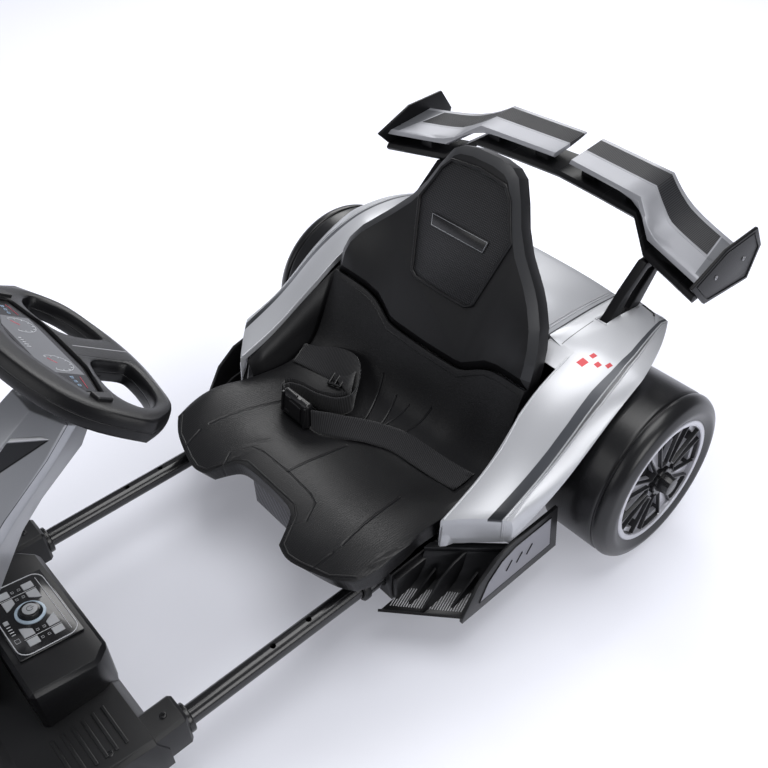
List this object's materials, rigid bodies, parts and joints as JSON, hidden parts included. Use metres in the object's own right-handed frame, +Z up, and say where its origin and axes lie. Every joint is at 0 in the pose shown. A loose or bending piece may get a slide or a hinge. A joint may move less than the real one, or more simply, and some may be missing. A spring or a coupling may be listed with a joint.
{
  "type": "electric drift kart",
  "caption": "Child's ride-on drift kart: bucket seat and spoiler over a rear tub, two tubes to a steered front pod, spoked hard wheels.",
  "frame": {"origin": "on the floor under the middle of the kart's length and width", "axes": "+Z up, forward is -Y, the driver's left is +X"},
  "size_m": [0.748, 1.31, 0.5517],
  "materials": {
    "black_plastic": "satin",
    "satin_plastic": "satin",
    "silver_paint": "satin",
    "black_steel": "gloss",
    "bare_steel": "brushed",
    "tyre_plastic": "matte",
    "webbing": "matte",
    "carbon_print": "gloss",
    "display_grey": "gloss"
  },
  "bodies": {
    "rear_section": {"rear_tub": "black_plastic", "battery": "black_plastic", "rail_left": "black_steel", "rail_right": "black_steel", "rail_sleeve_left": "black_steel", "rail_sleeve_right": "black_steel", "seat_shell": "black_plastic", "backrest": "satin_plastic", "headrest_panel": "carbon_print", "headrest_plate": "black_plastic", "fender_left": "silver_paint", "fender_right": "silver_paint", "side_panel_left": "black_plastic", "side_panel_right": "black_plastic", "rear_deck": "silver_paint", "rear_panel": "black_plastic", "side_step_left": "black_plastic", "side_step_right": "black_plastic", "wing_blade_left": "silver_paint", "wing_blade_right": "silver_paint", "wing_beam": "satin_plastic", "wing_endplate_left": "satin_plastic", "wing_endplate_right": "satin_plastic", "wing_stay_left": "black_plastic", "wing_stay_right": "black_plastic", "belt_strap_right": "webbing", "belt_strap_left": "webbing", "belt_buckle": "black_plastic", "rear_axle": "bare_steel", "gearbox_left": "black_plastic", "gearbox_right": "black_plastic"},
    "front_section": {"front_pod": "black_plastic", "front_axle_beam": "black_steel", "column_cowl": "silver_paint", "console": "black_plastic", "control_panel": "display_grey", "pedal_left": "satin_plastic", "pedal_right": "satin_plastic", "front_bumper": "black_plastic"},
    "steering": {"steering_wheel": "black_plastic", "steering_display": "display_grey", "steering_column": "black_steel"},
    "knuckle_left": {"knuckle_left": "black_steel"},
    "knuckle_right": {"knuckle_right": "black_steel"},
    "tie_rod": {"tie_rod": "bare_steel"},
    "rear_left_wheel": {"rear_left_tyre": "tyre_plastic", "rear_left_rim": "silver_paint"},
    "rear_right_wheel": {"rear_right_tyre": "tyre_plastic", "rear_right_rim": "silver_paint"},
    "front_left_wheel": {"front_left_tyre": "tyre_plastic", "front_left_rim": "silver_paint"},
    "front_right_wheel": {"front_right_tyre": "tyre_plastic", "front_right_rim": "silver_paint"}
  },
  "joints": [
    {"name": "frame_slide", "type": "slide", "parent": "rear_section", "child": "front_section", "axis": [0, 1, 0], "range_m": [-0.055, 0.055]},
    {"name": "steering", "type": "hinge", "parent": "front_section", "child": "steering", "pos_m": [0, -0.197, 0.487], "axis": [0, 0.5878, 0.809], "range_deg": [-70, 70]},
    {"name": "knuckle_left", "type": "hinge", "parent": "front_section", "child": "knuckle_left", "pos_m": [0.235, -0.505, 0.115], "axis": [0, 0, 1], "range_deg": [-25, 25]},
    {"name": "knuckle_right", "type": "hinge", "parent": "front_section", "child": "knuckle_right", "pos_m": [-0.235, -0.505, 0.115], "axis": [0, 0, 1], "range_deg": [-25, 25]},
    {"name": "tie_rod", "type": "hinge", "parent": "knuckle_left", "child": "tie_rod", "pos_m": [0.235, -0.455, 0.09], "axis": [0, 0, 1], "range_deg": [-25, 25]},
    {"name": "rear_left_roll", "type": "hinge", "parent": "rear_section", "child": "rear_left_wheel", "pos_m": [0.304, 0.415, 0.1315], "axis": [1, 0, 0], "continuous": true},
    {"name": "rear_right_roll", "type": "hinge", "parent": "rear_section", "child": "rear_right_wheel", "pos_m": [-0.304, 0.415, 0.1315], "axis": [1, 0, 0], "continuous": true},
    {"name": "front_left_roll", "type": "hinge", "parent": "knuckle_left", "child": "front_left_wheel", "pos_m": [0.293, -0.505, 0.115], "axis": [1, 0, 0], "continuous": true},
    {"name": "front_right_roll", "type": "hinge", "parent": "knuckle_right", "child": "front_right_wheel", "pos_m": [-0.293, -0.505, 0.115], "axis": [1, 0, 0], "continuous": true}
  ],
  "couplings": [
    {"joint": "knuckle_left", "follows": "steering", "ratio": 0.35714},
    {"joint": "knuckle_right", "follows": "steering", "ratio": 0.35714},
    {"joint": "tie_rod", "follows": "steering", "ratio": -0.35714}
  ]
}
